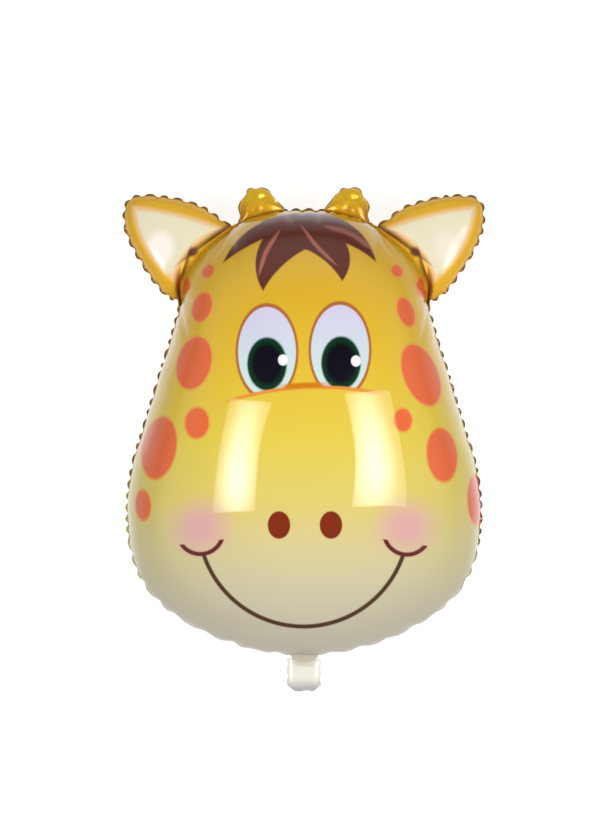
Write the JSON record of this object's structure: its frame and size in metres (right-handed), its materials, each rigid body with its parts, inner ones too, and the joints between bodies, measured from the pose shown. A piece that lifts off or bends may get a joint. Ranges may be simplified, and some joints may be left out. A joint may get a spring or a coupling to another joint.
{
  "type": "giraffe foil balloon",
  "caption": "Inflated foil balloon in the shape of a giraffe's head with ears and horns, puckered along its weld, with a clear valve sleeve below.",
  "frame": {"origin": "bottom centre of the bounding box: on the surface the balloon's back lies on, half way across and half way along it", "axes": "+X to the right of someone looking at the face, +Y from the valve sleeve to the crown, +Z out of the face, up as the balloon lies on its back"},
  "size_m": [0.4462, 0.6186, 0.269],
  "materials": {
    "printed_film": "glossy printed metallised film: yellow face fading to cream at the chin, with orange spots",
    "clear_film": "clear, slightly milky film"
  },
  "bodies": {
    "root": {"envelope": "printed_film", "valve_sleeve": "clear_film"}
  },
  "joints": []
}
